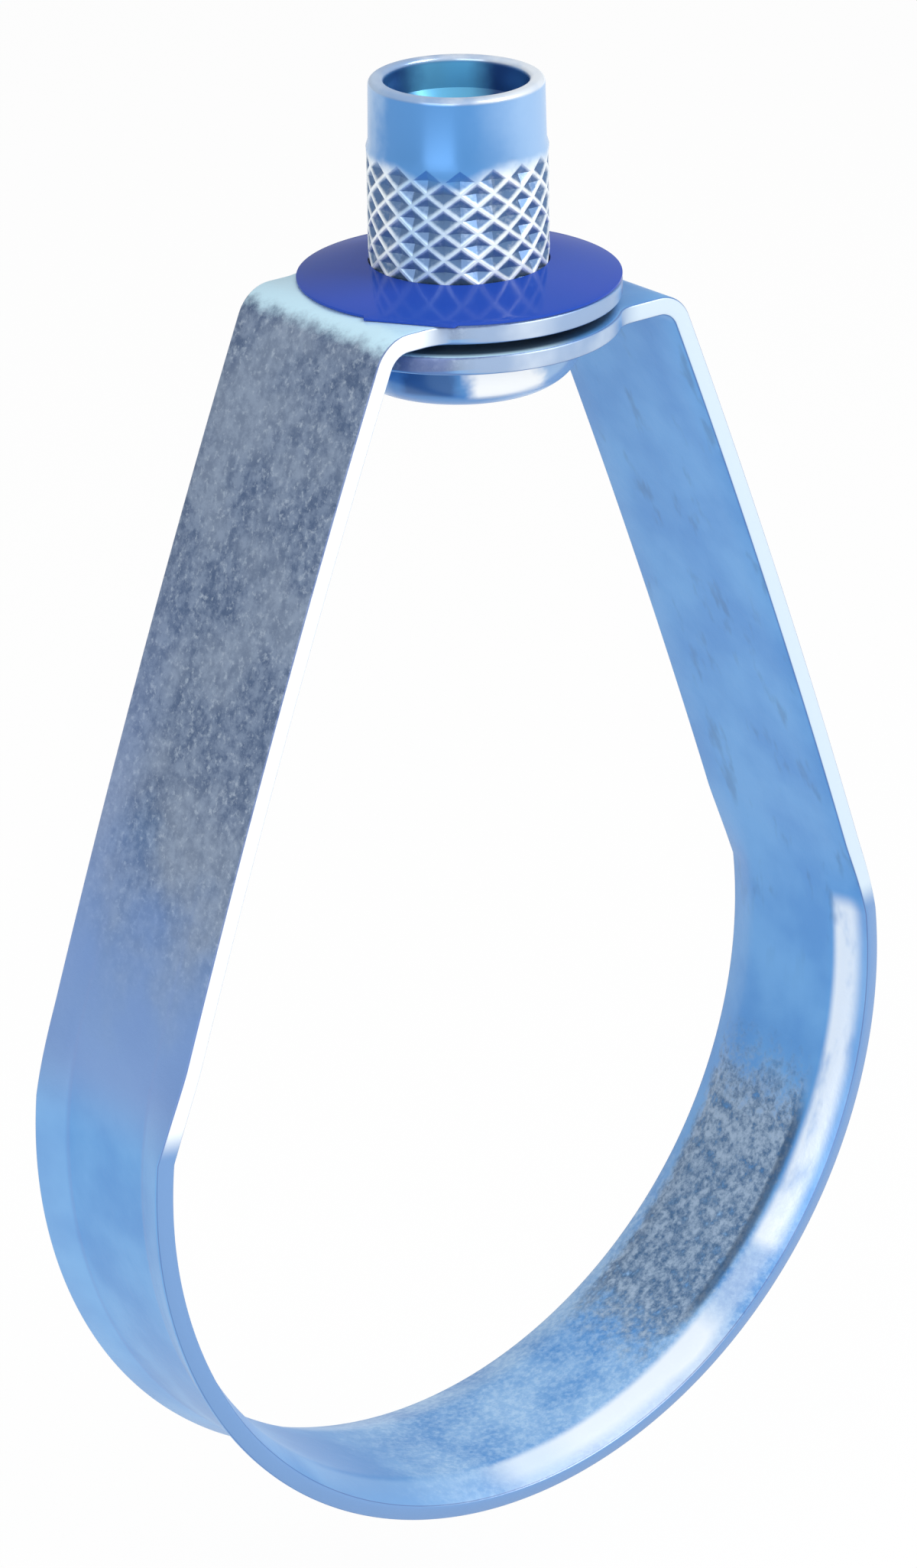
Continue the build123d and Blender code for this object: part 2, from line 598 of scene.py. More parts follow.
@dataclass(frozen=True)
class MottledArmWithHighlight:
    """The left arm's outer face: speckled grey zinc, lilac at its foot and a painted highlight on the bend
    at its top.

    In this and the other layers, a pair of numbers says where a tint is absent and where it is full, and
    a triple says the stretch that it fills and how far it fades beyond. Places are in millimetres, and
    bearings round the pipe are in degrees, with their fades in radians.
    """

    dark: Colour = (0.07, 0.12, 0.23)
    grey: Colour = (0.20, 0.27, 0.40)
    silver: Colour = (0.36, 0.44, 0.56)
    bend_highlight: Colour = (0.60, 0.86, 1.0)
    grey_grain: Span = (0.36, 0.64)
    silver_grain: Span = (0.50, 0.74)
    silver_cloud: Span = (0.42, 0.66)
    cloud_share: float = 0.35
    back_across: Span = (2.0, 8.0)
    back_height: Span = (46.0, 20.0)
    back_share: float = 0.5
    foot: Reach = (9.0, 22.0, 6.0)
    foot_share: float = 0.75
    start: Span = (11.0, 28.0)
    start_swing: float = 16.0
    bend_highlight_slope: Span = (0.5, 0.9)
    bend_highlight_swing: float = 0.5

    def lay(self, coat: StripCoat) -> None:
        """Lays the layer on the coat.

        Args:
            coat: The band's coat.
        """
        paint, face, z = coat.paint, coat.outer_left, coat.z
        zinc = paint.blend(coat.mottle.step(*self.grey_grain), self.dark, self.grey)
        zinc = paint.blend(coat.fine.step(*self.silver_grain), zinc, self.silver)
        zinc = paint.blend(coat.cloud.step(*self.silver_cloud) * self.cloud_share, zinc, self.silver)
        back = coat.y.step(*mm(self.back_across)) * z.step(*mm(self.back_height))
        zinc = paint.blend(back * self.back_share, zinc, LILAC)
        coat.lay(face * z.within(*mm(self.foot)) * self.foot_share, LILAC)
        ragged = z + coat.cloud.swing(self.start_swing * MM)
        coat.lay(face * ragged.step(*mm(self.start)), zinc)
        # painted highlight: paler where the surface faces up, on the bend at the top of the arm
        slope = coat.rise + coat.mottle.swing(self.bend_highlight_swing)
        coat.lay(face * slope.step(*self.bend_highlight_slope), self.bend_highlight)


@dataclass(frozen=True)
class OuterFlareShading:
    """The left flares from outside: a painted sheen, a little paler than the cradle, and painted lilac shade
    along each fold.
    """

    top: Span = (10.0, 6.0)
    edge: Span = (-0.2, 0.3)
    back_share: float = 0.16
    front_share: float = 0.10
    fold_shade_offset: float = -0.1
    fold_shade_fade: Span = (0.28, 0.05)
    fold_shade_top: Span = (26.0, 10.0)
    fold_shade_share: float = 0.3

    def lay(self, coat: StripCoat) -> None:
        """Lays the layer on the coat.

        Args:
            coat: The band's coat.
        """
        face, y, z, fold = coat.outer_left, coat.y, coat.z, coat.band.fold
        start, full = mm(self.edge, fold)
        # painted sheen: the turned flares paler, the back one more than the front
        tint = y.step(start, full) * self.back_share + y.step(-start, -full) * self.front_share
        coat.lay(face * z.step(*mm(self.top)) * tint, FROST_AND_SHEEN)
        # painted shade: a lilac line along each fold
        line = abs(abs(y) - (fold + self.fold_shade_offset) * MM).step(*mm(self.fold_shade_fade))
        coat.lay(face * line * z.step(*mm(self.fold_shade_top)) * self.fold_shade_share, LILAC)


@dataclass(frozen=True)
class WornAndShadedInside:
    """The inner face: smudges up the arm, a frosted bottom, a dark worn patch and painted shade in the
    crease in front.
    """

    dark: Colour = (0.055, 0.14, 0.28)
    pale: Colour = (0.38, 0.50, 0.65)
    smudged: Span = (0.56, 0.72)
    smudge_foot: Span = (-10.0, 12.0)
    smudge_share: float = 0.35
    frost_arc: Reach = (-98.0, -48.0, 0.3)
    frost_swing: float = 0.35
    fine_frost: Span = (0.35, 0.7)
    fine_share: float = 0.5
    cloud_frost: Span = (0.35, 0.65)
    cloud_share: float = 0.4
    mottle_weight: float = 0.6
    fine_weight: float = 0.4
    angle_weight: float = 0.06
    pale_grain: Span = (0.34, 0.58)
    patch_across: Reach = (-3.6, 5.6, 1.2)
    patch_swing: float = 3.0
    patch_arc: Reach = (-56.0, -26.0, 0.2)
    patch_arc_swing: float = 1.4
    patch_grain: Span = (0.22, 0.46)
    crease_arc: Reach = (-52.0, -26.0, 0.12)
    crease_across: Reach = (-4.3, -3.9, 0.5)
    crease_share: float = 0.7

    def lay(self, coat: StripCoat) -> None:
        """Lays the layer on the coat.

        Args:
            coat: The band's coat.
        """
        face, y, angle, fine, mottle = coat.inner, coat.y, coat.angle, coat.fine, coat.mottle
        foot, full = (math.radians(bearing) for bearing in self.smudge_foot)
        smudge = coat.smudge.step(*self.smudged) * angle.step(foot, full)
        coat.lay(face * smudge * self.smudge_share, self.dark)
        wavy = mottle.swing(self.frost_swing)
        frosted = fine.step(*self.fine_frost) * self.fine_share
        frosted += coat.cloud.step(*self.cloud_frost) * self.cloud_share
        coat.lay(face * (angle + wavy).arc(*self.frost_arc) * frosted, FROST_AND_SHEEN)
        grain = mottle * self.mottle_weight + fine * self.fine_weight + angle * self.angle_weight
        worn = coat.paint.blend(grain.step(*self.pale_grain), self.dark, self.pale)
        patch = (y + mottle.swing(self.patch_swing * MM)).within(*mm(self.patch_across))
        patch *= (angle + wavy * self.patch_arc_swing).arc(*self.patch_arc)
        coat.lay(face * patch * mottle.step(*self.patch_grain), worn)
        # painted shade: a dark line along the front fold, in the crease
        crease = angle.arc(*self.crease_arc) * y.within(*mm(self.crease_across))
        coat.lay(face * crease * self.crease_share, PAINTED_SHADE)


@dataclass(frozen=True)
class FlareHighlight:
    """The front flare from inside: a painted highlight along its upper run and crest, and a paler painted
    sheen to the left.
    """

    edge: Span = (0.0, 0.7)
    rim: Span = (2.9, 1.7)
    crest_arc: Reach = (-90.0, -60.0, 0.16)
    crest_share: float = 0.5
    upper_arc: Reach = (-40.0, 8.0, 0.06)
    between_arc: Reach = (-60.0, -42.0, 0.1)
    between_share: float = 0.36
    worn: Span = (0.5, 0.75)
    worn_share: float = 0.5
    rim_share: float = 0.8
    inner_share: float = 0.1
    tail_arc: Reach = (-125.0, -88.0, 0.15)
    tail_share: float = 0.3

    def lay(self, coat: StripCoat) -> None:
        """Lays the layer on the coat.

        Args:
            coat: The band's coat.
        """
        angle, fold = coat.angle, coat.band.fold
        flare = coat.inner * coat.y.step(*[-place for place in mm(self.edge, fold)])
        rim = coat.y.step(*[-place for place in mm(self.rim, fold)])
        # painted highlight: bright along the flare's upper run and its crest
        crest = angle.arc(*self.crest_arc) * (rim * self.crest_share + (1 - self.crest_share))
        upper = angle.arc(*self.upper_arc) * (1 - coat.smudge.step(*self.worn) * self.worn_share)
        between = angle.arc(*self.between_arc) * self.between_share
        shine = crest + (upper + between) * (rim * self.rim_share + self.inner_share)
        coat.lay(flare * shine.clamp(), HIGHLIGHT_WHITE)
        # painted sheen: paler towards the left
        coat.lay(flare * angle.arc(*self.tail_arc) * self.tail_share, FROST_AND_SHEEN)


@dataclass(frozen=True)
class CutEdge:
    """The cut edges in painted light: a highlight up the arms, bluer below the knuckles, shade between the
    eyes.
    """

    far: Colour = (0.62, 0.74, 0.85)
    lower: Colour = (0.17, 0.32, 0.60)
    eye: Colour = (0.20, 0.32, 0.54)
    edge_shade_line: Colour = (0.10, 0.15, 0.36)
    far_across: Span = (-6.0, 9.0)
    lower_top: Span = (7.6, 5.2)
    eye_foot: Span = (55.0, 56.5)
    eye_across: Span = (10.0, 7.5)
    eye_cloud: Span = (0.3, 0.6)
    eye_cloud_share: float = 0.5
    eye_share: float = 0.35
    gap_margin: float = 0.03
    gap_fade: float = 0.05
    gap_edge: Span = (11.2, 10.6)
    gap_shade_share: float = 0.85
    slope: Span = (0.70, 0.86)
    edge_shade_slope: Reach = (0.52, 0.70, 0.08)
    edge_shade_share: float = 0.7

    def lay(self, coat: StripCoat) -> None:
        """Lays the layer on the coat.

        Args:
            coat: The band's coat.
        """
        paint, band, x, z = coat.paint, coat.band, coat.x, coat.z
        # painted highlight: brightest on the left, dimmer on the right, bluer below the knuckles and at the
        # eyes
        edge = paint.blend(x.step(*mm(self.far_across)), HIGHLIGHT_WHITE, self.far)
        edge = paint.blend(z.step(*mm(self.lower_top)), edge, self.lower)
        eyes = z.step(*mm(self.eye_foot)) * abs(x).step(*mm(self.eye_across))
        clouded = coat.cloud.step(*self.eye_cloud) * self.eye_cloud_share + self.eye_share
        edge = paint.blend(eyes * clouded, edge, self.eye)
        # painted shade in the gap between the two eyes
        top = band.undersides[Side.LEFT] + self.gap_margin
        foot = band.undersides[Side.LEFT] - band.eye_gap - self.gap_margin
        gap = z.within(*mm((foot, top, self.gap_fade)))
        coat.lay(gap * paint.length(x, coat.y).step(*mm(self.gap_edge)) * self.gap_shade_share, PAINTED_SHADE)
        coat.lay(coat.steep.step(*self.slope), edge)
        # painted shade: a thin dark line where the edge's rounding meets the faces
        coat.lay(coat.steep.within(*self.edge_shade_slope) * self.edge_shade_share, self.edge_shade_line)


@dataclass(frozen=True)
class StripZinc:
    """Galvanised strip: blue zinc, mottled where it lay flat, with painted highlights and shade on bends,
    cut edges and flares.
    """

    blue: Colour = (0.095, 0.30, 0.66)
    pale: Colour = (0.145, 0.385, 0.74)
    clouded: Span = (0.3, 0.7)
    fine: Noise = Noise(scale=1900.0, octaves=4.0, rough=0.7)
    mottle: Noise = Noise(scale=900.0, octaves=6.0, rough=0.7)
    cloud: Noise = Noise(scale=160.0)
    smudge: Noise = Noise(scale=190.0, rough=0.6, stretch=(1.0, 2.6, 1.0))
    face_turn: Span = (-1.0, 1.0)
    side_turn: Span = (2.0, -2.0)
    fine_height: float = 0.4
    bump_depth: float = 0.03
    metallic: float = 0.35
    roughness: float = 0.36

    def make(self, band: "LoopBand") -> bpy.types.Material:
        """Builds the material.

        Args:
            band: The band, which gives the sizes.

        Returns:
            The material.
        """
        paint = Paint("strip_zinc")
        coat = StripCoat(paint, self, band)
        coat.lay(coat.cloud.step(*self.clouded), self.pale)
        for layer in (MottledArmWithHighlight(), OuterFlareShading(), WornAndShadedInside(), FlareHighlight(), CutEdge()):
            layer.lay(coat)
        height = coat.mottle + coat.fine * self.fine_height
        return paint.finish(
            height, self.bump_depth, Base_Color=coat.colour, Metallic=self.metallic, Roughness=self.roughness
        )


class NutCoat(Coat):
    """The nut's coat, with the measures that its layers read."""

    def __init__(self, paint: Paint, zinc: "NutZinc") -> None:
        """Starts the coat with the zinc's blue.

        Args:
            paint: The paint.
            zinc: The finish, which gives the lit side and the waviness.
        """
        super().__init__(paint, zinc.blue)
        turn = math.radians(zinc.lit_bearing)
        self.across = self.x * math.cos(turn) + self.y * math.sin(turn)
        self.radius = paint.length(self.x, self.y)
        self.wave = paint.noise(zinc.wave) - 0.5

    def wavy(self, reach: float) -> Value:
        """The place across the lit side, made wavy by so many millimetres."""
        return self.across + self.wave * (reach * MM)


@dataclass(frozen=True)
class NutZinc:
    """Bright zinc plating of the turned and knurled nut, with painted light: whiter towards the lit side,
    shaded in hollows.

    Numbers are given as in the strip's layers. Heights count from the edge that the layer follows.
    """

    # Apart from blue, these are painted light: lit, glow, cyan, ridge_blue, ridge_white and white are
    # highlights and sheen, deep and pit shade.
    blue: Colour = (0.085, 0.27, 0.60)
    lit: Colour = (0.31, 0.50, 0.78)
    deep: Colour = (0.02, 0.075, 0.24)
    cyan: Colour = (0.15, 0.52, 0.82)
    pit: Colour = (0.10, 0.19, 0.36)
    ridge_blue: Colour = (0.42, 0.60, 0.82)
    ridge_white: Colour = (0.86, 0.93, 0.97)
    white: Colour = (0.95, 0.98, 1.0)
    glow: Colour = (0.30, 0.48, 0.74)
    lit_bearing: float = -38.33
    wave: Noise = Noise(scale=420.0)
    scuff: Noise = Noise(scale=1100.0, octaves=4.0, rough=0.7)
    scuff_swing: float = 1.3
    side_wave: float = 2.0
    lit_across: Span = (0.5, 5.6)
    left_sheen_across: Span = (-4.6, -6.2)
    ridge_height: Span = (-0.16, -0.01)
    ridge_right: Span = (-4.0, 4.0)
    ridge_left: Span = (-3.5, -5.2)
    knurl_start: Span = (0.3, -0.9)
    knurl_wave: float = 1.2
    knurl_foot: Span = (-0.1, 0.1)
    knurl_inside: Span = (5.5, 5.8)
    dip_centre: float = -1.0
    dip_width: Span = (4.5, 0.0)
    dip_depth: float = 0.9
    rim: Span = (-0.42, -0.2)
    glint_slope: float = 60.0
    glint: Span = (-0.2, 0.3)
    glint_swing: float = 0.5
    glint_share: float = 0.25
    hollow_wall: Span = (0.14, 0.02)
    hollow_top: Span = (-0.1, -0.5)
    cyan_centre: float = -0.6
    cyan_width: Span = (3.6, 1.4)
    cyan_wave: float = 1.5
    dome: Span = (-0.1, -0.5)
    dome_fade: float = 0.5
    flash_across: Reach = (1.2, 5.0, 1.2)
    flash_wave: float = 3.0
    flash_foot: float = 1.0
    flash_top: float = -0.8
    blotch_across: Reach = (-3.4, -0.8, 1.0)
    blotch_foot: float = 1.2
    blotch_top: float = -0.4
    blotch_share: float = 0.7
    metallic: float = 0.4
    roughness: float = 0.24

    def make(self, nut: "SwivelNut") -> bpy.types.Material:
        """Builds the material.

        Args:
            nut: The nut, which gives the sizes.

        Returns:
            The material.
        """
        paint = Paint("nut_zinc")
        coat = NutCoat(paint, self)
        # painted light: whiter towards the lit side, and a painted sheen along the left edge
        coat.lay(coat.wavy(self.side_wave).step(*mm(self.lit_across)), self.lit)
        coat.lay(coat.wavy(self.side_wave).step(*mm(self.left_sheen_across)), self.glow)
        self._knurl(coat, nut)
        self._mouth(coat, nut)
        self._dome(coat, nut)
        return paint.finish(Base_Color=coat.colour, Metallic=self.metallic, Roughness=self.roughness)

    def _knurl(self, coat: NutCoat, nut: "SwivelNut") -> None:
        """Paints the knurl: painted shade in the pits, painted highlights on the ridges and an uneven start
        below the collar.

        Args:
            coat: The nut's coat.
            nut: The nut.
        """
        paint, across = coat.paint, coat.across
        # painted shade in the pits and painted highlight on the ridges: worn is the ridges' share, set by
        # depth
        depth = coat.radius.step(*mm(self.ridge_height, nut.barrel_radius))
        worn = (depth + paint.noise(self.scuff).swing(self.scuff_swing)).clamp()
        # painted highlight: the ridges whiter towards both sides
        ridge = paint.blend(across.step(*mm(self.ridge_right)), self.ridge_blue, self.ridge_white)
        ridge = paint.blend(across.step(*mm(self.ridge_left)), ridge, self.ridge_white)
        knurl = paint.blend(worn, self.pit, ridge)
        dip = abs(across - self.dip_centre * MM).step(*mm(self.dip_width)) * (self.dip_depth * MM)
        height = coat.z + dip + coat.wave * (self.knurl_wave * MM)
        share = height.step(*mm(self.knurl_start, nut.knurl_top))
        share *= coat.z.step(*mm(self.knurl_foot, nut.knurl_foot))
        coat.lay(share * coat.radius.step(*mm(self.knurl_inside)), knurl)

    def _mouth(self, coat: NutCoat, nut: "SwivelNut") -> None:
        """Paints the nut's mouth: a painted glint on the rim, painted shade in the hollow and a painted cyan
        reflection.

        Args:
            coat: The nut's coat.
            nut: The nut.
        """
        # painted highlight: a white glint on the rim
        glint = (coat.wave + coat.across * self.glint_slope).step(*self.glint)
        glint = glint * self.glint_swing + self.glint_share
        coat.lay(coat.z.step(*mm(self.rim, nut.top)) * glint, self.white)
        # painted shade in the hollow, with a painted cyan reflection down its middle
        middle = abs(coat.across - self.cyan_centre * MM) + coat.wave * (self.cyan_wave * MM)
        hollow = coat.paint.blend(middle.step(*mm(self.cyan_width)), self.deep, self.cyan)
        inside = coat.radius.step(*mm(self.hollow_wall, nut.counterbore_radius))
        coat.lay(inside * coat.z.step(*mm(self.hollow_top, nut.top)), hollow)

    def _dome(self, coat: NutCoat, nut: "SwivelNut") -> None:
        """Paints the flange's dome, with one painted white highlight and one darker patch.

        Args:
            coat: The nut's coat.
            nut: The nut.
        """
        dome = coat.z.step(*mm(self.dome, nut.flange_top))
        # painted highlight: a white flash on the dome's lit side
        flash = dome * coat.wavy(self.flash_wave).within(*mm(self.flash_across))
        reach = (nut.bottom + self.flash_foot, nut.flange_top + self.flash_top, self.dome_fade)
        coat.lay(flash * coat.z.within(*mm(reach)), self.white)
        # a darker patch on the dome's other side
        blotch = dome * coat.wavy(self.side_wave).within(*mm(self.blotch_across))
        reach = (nut.bottom + self.blotch_foot, nut.flange_top + self.blotch_top, self.dome_fade)
        coat.lay(blotch * coat.z.within(*mm(reach)) * self.blotch_share, self.deep)


@dataclass(frozen=True)
class WasherFilm:
    """Deep blue glossy plastic."""

    deep: Colour = (0.012, 0.070, 0.40)
    violet: Colour = (0.030, 0.070, 0.42)
    cloud: Noise = Noise(scale=120.0)
    gloss: float = 0.07
    roughness: float = 0.12

    def make(self) -> bpy.types.Material:
        """Builds the material.

        Returns:
            The material.
        """
        paint = Paint("washer_film")
        coat = Coat(paint, self.deep)
        coat.lay(paint.noise(self.cloud), self.violet)
        paint.shader.inputs["Specular IOR Level"].default_value = self.gloss
        return paint.finish(Base_Color=coat.colour, Roughness=self.roughness, Metallic=0.0)


@dataclass
class LoopBand:
    """The one strip of the hanger: two round eyes, two arms and the cradle with its flared edges."""

    cradle_radius: float = 31.5
    flank_radius: float = 33.1
    flank_angle: float = 30.0
    arm_radius: float = 720.0
    strip_width: float = 15.9
    thickness: float = 1.35
    edge_round: float = 0.22
    flare_width: float = 3.35
    flare_angle: float = 18.0
    fold_blend: float = 0.5
    knuckle_height: float = 11.8
    knuckle_length: float = 6.8
    knuckle_sharpness: float = 1.5
    knuckle_margin: float = 1.0
    shoulder_radius: float = 1.6
    upper_neck: float = 2.55
    lower_neck: float = 3.5
    eye_radius: float = 11.4
    eye_neck_radius: float = 2.5
    eye_hole_radius: float = 6.7
    upper_eye_top: float = 60.5
    eye_gap: float = 0.85
    cradle_steps: int = 150
    flank_steps: int = 72
    arm_steps: int = 40
    shoulder_steps: int = 12
    eye_steps: int = 120
    neck_steps: int = 8
    round_steps: int = 3
    round_limit: float = 50.0
    smooth_limit: float = 35.0
    name: str = "loop_band_strip"

    def __post_init__(self) -> None:
        """Works out the sizes that follow from the others."""
        self.half = self.strip_width / 2
        self.fold = self.half - self.flare_width
        offset = self.flank_radius - self.cradle_radius
        tilt = math.radians(self.flank_angle)
        self.flank_centre = Vector((-offset * math.cos(tilt), 0, offset * math.sin(tilt)))
        neck_root = math.sqrt(self.eye_radius**2 - self.half**2)
        self.bend_x = {Side.LEFT: neck_root + self.upper_neck, Side.RIGHT: neck_root + self.lower_neck}
        underside = self.upper_eye_top - self.thickness
        self.undersides = {Side.LEFT: underside, Side.RIGHT: underside - self.thickness - self.eye_gap}
        rise = self.knuckle_height - self.flank_centre.z
        self.knuckle_top = math.atan2(rise, self.flank_radius)
        self.knuckle_foot = self.knuckle_top - self.knuckle_length / self.flank_radius

    def bend(self, side: Side) -> Vector:
        """Centre of the shoulder bend, as if on the right-hand side."""
        return Vector((self.bend_x[side], 0, self.undersides[side] - self.shoulder_radius))

    def arm_arc(self, side: Side) -> tuple[Vector, float, float]:
        """The bowed arm, which touches the flank's circle and the shoulder's.

        Args:
            side: The arm.

        Returns:
            Its centre as if on the right-hand side, and its lean in radians at its foot and at its top.
        """
        bend = self.bend(side)
        reach = bend - self.flank_centre
        flank_gap = self.arm_radius - self.flank_radius
        bend_gap = self.arm_radius - self.shoulder_radius
        cosine = (reach.length**2 + flank_gap**2 - bend_gap**2) / (2 * reach.length * flank_gap)
        opening = math.acos(cosine)
        foot = math.atan2(reach.z, reach.x) + opening - math.pi
        centre = self.flank_centre - Vector((math.cos(foot), 0, math.sin(foot))) * flank_gap
        return centre, foot, math.atan2(bend.z - centre.z, bend.x - centre.x)

    def stations(self) -> list[float]:
        """Lists the places across the strip where it has an edge line.

        Returns:
            The places in millimetres, from one cut edge to the other.
        """
        blend = self.fold_blend
        half_line = [self.half, self.fold + 2 * blend, self.fold + blend, self.fold, self.fold - blend]
        return [-place for place in half_line] + [0.0] + half_line[::-1]

    def _draw_across(self, name: str, x: float, z: float) -> Bench:
        """Draws the strip's width as a row of edges.

        Args:
            name: Name of the new piece.
            x: The row's place along X, in millimetres.
            z: Its height, in millimetres.

        Returns:
            The bench, with the last vertex selected.
        """
        across = self.stations()
        bench = Bench.pen(name, at(x, across[0], z))
        bench.line(*[at(0, after - before, 0) for before, after in zip(across, across[1:])])
        return bench

    def strip(self) -> Bench:
        """Draws the section along the loop, from the right neck round the cradle to the left neck.

        Returns:
            The bench with the plain strip, a row of faces still closing each end.
        """
        bench = self._draw_across(self.name, self.bend_x[Side.RIGHT], self.undersides[Side.RIGHT])
        bench.select_all()
        bench.line(at(0, 0, self.thickness))
        bench.select_all()
        flank_reach = math.radians(self.flank_angle)
        for side in (Side.RIGHT, Side.LEFT):
            arm_centre, foot, top = self.arm_arc(side)
            over = at(side.value, 1, 1)
            runs = [
                (self.bend(side) * over, QUARTER_TURN - top, self.shoulder_steps),
                (arm_centre * over, top - foot, self.arm_steps),
                (self.flank_centre * over, foot + flank_reach, self.flank_steps),
            ]
            if side is Side.RIGHT:
                runs.append((Vector(), 2 * (QUARTER_TURN - flank_reach), self.cradle_steps))
            else:
                runs.reverse()
            for centre, angle, steps in runs:
                bench.spin(centre, ALONG_PIPE, angle, steps)
        return bench

    def _flared(self, point: Vector) -> Vector:
        """Flares the cradle's edges.

        Args:
            point: A point of the plain strip, in metres.

        Returns:
            Where it goes.
        """
        side = 1 if point.x >= 0 else -1
        place = Vector((abs(point.x), 0, point.z)) / MM
        from_flank = place - self.flank_centre
        angle = math.atan2(from_flank.z, from_flank.x)
        beyond = abs(point.y) / MM - self.fold
        blend = self.fold_blend
        if place.z > self.knuckle_height + self.knuckle_margin or angle >= self.knuckle_top:
            return point
        if beyond <= -blend:
            return point
        ease = min((self.knuckle_top - angle) / (self.knuckle_top - self.knuckle_foot), 1.0)
        turn = math.radians(self.flare_angle) * ease**self.knuckle_sharpness
        below = math.atan2(place.z, place.x) < -math.radians(self.flank_angle)
        centre = Vector() if below else self.flank_centre
        radius = self.cradle_radius if below else self.flank_radius
        out = (place - centre).normalized()
        depth = (place - centre).length - radius
        if beyond < blend:
            tilt = turn * (beyond + blend) / (2 * blend)
            across = self.fold + beyond
            lift = turn * (beyond + blend) ** 2 / (4 * blend)
        else:
            tilt = turn
            across = self.fold + blend + (beyond - blend) * math.cos(turn)
            lift = turn * blend + (beyond - blend) * math.sin(turn)
        across -= depth * math.sin(tilt)
        lift += depth * (math.cos(tilt) - 1)
        moved = place + out * lift
        return at(side * moved.x, math.copysign(across, point.y), moved.z)

    def eye(self, side: Side) -> bpy.types.Object:
        """Draws one round eye with its neck, open where it meets the strip.

        Args:
            side: The arm that the eye ends.

        Returns:
            The eye's mesh object.
        """
        under, bend_x = self.undersides[side], self.bend_x[side]
        radius = self.eye_neck_radius
        fillet_y = self.half + radius
        fillet_x = math.sqrt((self.eye_radius + radius) ** 2 - fillet_y**2)
        touch = math.atan2(fillet_y, fillet_x)
        turn = QUARTER_TURN - touch
        neck = at(fillet_x - bend_x, 0, 0)
        bench = self._draw_across(f"eye_{side.name.lower()}", bend_x, under)
        bench.line(neck)
        bench.spin(at(fillet_x, fillet_y, under), UP, -turn, self.neck_steps)
        bench.spin(at(0, 0, under), UP, FULL_TURN - 2 * touch, self.eye_steps)
        bench.spin(at(fillet_x, -fillet_y, under), UP, -turn, self.neck_steps)
        bench.line(-neck)
        bench.weld()
        bpy.ops.mesh.primitive_circle_add(
            vertices=self.eye_steps, radius=self.eye_hole_radius * MM, location=at(0, 0, under)
        )
        bench.select_all()
        bpy.ops.mesh.fill(use_beauty=True)
        bench.select_all()
        bench.line(at(0, 0, self.thickness))
        mouth = (bend_x - NEAR_MM) * MM
        bench.choose(SelectMode.FACE, lambda middle: middle.x > mouth)
        bpy.ops.mesh.delete(type="FACE")
        if side is Side.LEFT:
            bench.nudge(lambda vertex: Vector((-vertex.x, -vertex.y, vertex.z)))
        return bench.done()

    def build(self) -> bpy.types.Object:
        """Builds, dresses and places the band.

        Returns:
            The finished piece.
        """
        bench = self.strip()
        bench.weld()
        ends = [side.value * reach * MM for side, reach in self.bend_x.items()]
        high = self.flank_radius * MM

        def is_end(middle: Vector) -> bool:
            """Whether a face closes one end of the strip, where an eye joins it."""
            return middle.z > high and min(abs(middle.x - end) for end in ends) < WELD

        bench.choose(SelectMode.FACE, is_end)
        bpy.ops.mesh.delete(type="FACE")
        bench.nudge(self._flared)
        bench.take_in(self.eye(Side.RIGHT), self.eye(Side.LEFT))
        bench.bevel(self.edge_round, self.round_steps, self.round_limit)
        bench.shade(self.smooth_limit)
        bench.mark_facing()
        piece = bench.dress(StripZinc().make(self))
        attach(piece, "band")
        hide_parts("loop_band")
        return piece


